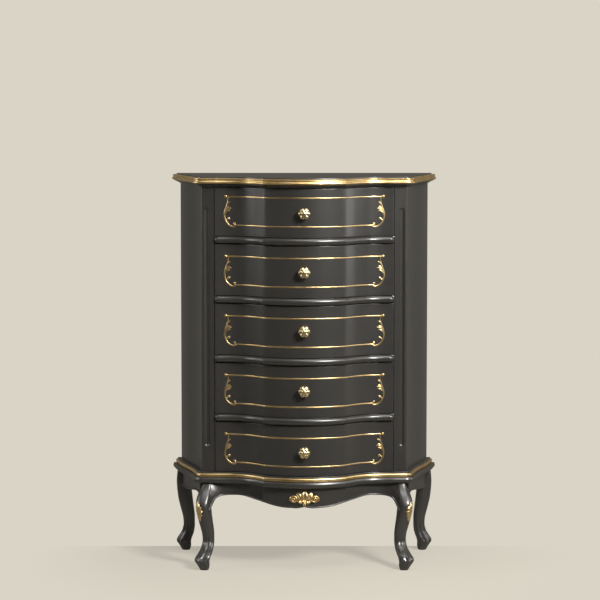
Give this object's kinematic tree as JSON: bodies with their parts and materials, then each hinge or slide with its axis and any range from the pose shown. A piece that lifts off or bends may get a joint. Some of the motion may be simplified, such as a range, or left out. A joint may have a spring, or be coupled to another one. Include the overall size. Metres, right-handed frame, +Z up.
{
  "type": "chest of drawers",
  "caption": "Tall chest of drawers with a serpentine bowed front, flaring sides, moulded top and base, scalloped aprons and cabriole legs; the drawers slide out.",
  "frame": {"origin": "on the floor, under the middle of the whole chest's box", "axes": "+Z up, -Y the way the drawers face and slide out, +X to the right of someone who faces the drawers"},
  "size_m": [0.8388, 0.431, 1.206],
  "materials": {
    "black_lacquer": "satin black lacquer on wood",
    "gold_leaf": "gold leaf on carved wood",
    "gilt_brass": "polished gilt",
    "drawer_wood": "plain sealed wood",
    "carcass_wood": "plain wood"
  },
  "bodies": {
    "case": {"top_board": "black_lacquer", "top_gilt_moulding": "gold_leaf", "base_board": "black_lacquer", "base_gilt_bead": "gold_leaf", "side_panel_left": "black_lacquer", "side_panel_right": "black_lacquer", "guide_panel_left": "carcass_wood", "guide_panel_right": "carcass_wood", "back_panel": "carcass_wood", "corner_post_left": "black_lacquer", "corner_post_right": "black_lacquer", "drawer_rail_1": "black_lacquer", "drawer_rail_2": "black_lacquer", "drawer_rail_3": "black_lacquer", "drawer_rail_4": "black_lacquer", "dust_board_1": "carcass_wood", "dust_board_2": "carcass_wood", "dust_board_3": "carcass_wood", "dust_board_4": "carcass_wood", "leg_front_left": "black_lacquer", "leg_front_right": "black_lacquer", "leg_back_left": "black_lacquer", "leg_back_right": "black_lacquer", "apron_front": "black_lacquer", "apron_left": "black_lacquer", "apron_right": "black_lacquer", "apron_back": "black_lacquer", "shell_ornament": "gold_leaf", "knee_leaf_left": "gold_leaf", "knee_leaf_right": "gold_leaf"},
    "drawer_1": {"drawer_1_front": "black_lacquer", "drawer_1_side_left": "drawer_wood", "drawer_1_side_right": "drawer_wood", "drawer_1_back": "drawer_wood", "drawer_1_bottom": "carcass_wood", "drawer_1_knob": "gilt_brass"},
    "drawer_2": {"drawer_2_front": "black_lacquer", "drawer_2_side_left": "drawer_wood", "drawer_2_side_right": "drawer_wood", "drawer_2_back": "drawer_wood", "drawer_2_bottom": "carcass_wood", "drawer_2_knob": "gilt_brass"},
    "drawer_3": {"drawer_3_front": "black_lacquer", "drawer_3_side_left": "drawer_wood", "drawer_3_side_right": "drawer_wood", "drawer_3_back": "drawer_wood", "drawer_3_bottom": "carcass_wood", "drawer_3_knob": "gilt_brass"},
    "drawer_4": {"drawer_4_front": "black_lacquer", "drawer_4_side_left": "drawer_wood", "drawer_4_side_right": "drawer_wood", "drawer_4_back": "drawer_wood", "drawer_4_bottom": "carcass_wood", "drawer_4_knob": "gilt_brass"},
    "drawer_5": {"drawer_5_front": "black_lacquer", "drawer_5_side_left": "drawer_wood", "drawer_5_side_right": "drawer_wood", "drawer_5_back": "drawer_wood", "drawer_5_bottom": "carcass_wood", "drawer_5_knob": "gilt_brass"}
  },
  "joints": [
    {"name": "drawer_1_slide", "type": "slide", "parent": "case", "child": "drawer_1", "axis": [0, -1, 0], "range_m": [0, 0.19]},
    {"name": "drawer_2_slide", "type": "slide", "parent": "case", "child": "drawer_2", "axis": [0, -1, 0], "range_m": [0, 0.19]},
    {"name": "drawer_3_slide", "type": "slide", "parent": "case", "child": "drawer_3", "axis": [0, -1, 0], "range_m": [0, 0.19]},
    {"name": "drawer_4_slide", "type": "slide", "parent": "case", "child": "drawer_4", "axis": [0, -1, 0], "range_m": [0, 0.19]},
    {"name": "drawer_5_slide", "type": "slide", "parent": "case", "child": "drawer_5", "axis": [0, -1, 0], "range_m": [0, 0.19]}
  ]
}
